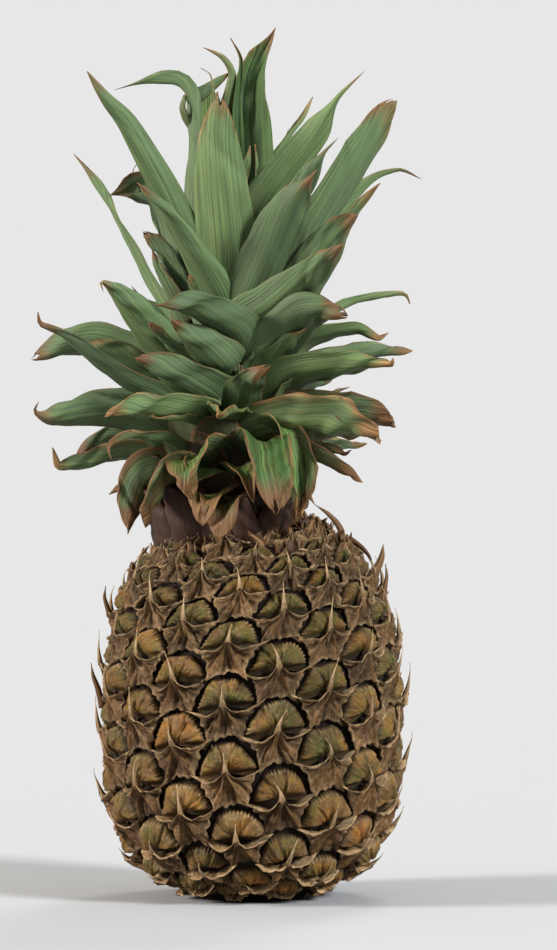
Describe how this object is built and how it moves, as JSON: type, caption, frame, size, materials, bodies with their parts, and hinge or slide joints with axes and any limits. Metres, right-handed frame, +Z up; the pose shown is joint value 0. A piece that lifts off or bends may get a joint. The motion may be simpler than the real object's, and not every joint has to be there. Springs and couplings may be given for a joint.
{
  "type": "pineapple",
  "caption": "Whole ripe pineapple standing on its base: a barrel of spiral eyes with bracts and spines, under a crown of dry, curling strap leaves.",
  "frame": {"origin": "centre of the flat spot of the base, on the surface that the fruit stands on", "axes": "+Z up through the fruit and its crown; the side that the picture shows faces -Y, with +X to its right"},
  "size_m": [0.1597, 0.169, 0.3552],
  "materials": {
    "fruit_skin": "waxy, golden brown to green-brown eyes with dry papery bracts",
    "crown_leaf": "matt grey-green leaf with fine lengthwise ribs and dry brown edges",
    "cut_stem": "dry fibrous cut end"
  },
  "bodies": {
    "root": {"fruit": "fruit_skin", "crown": "crown_leaf", "cut_stem": "cut_stem"}
  },
  "joints": []
}
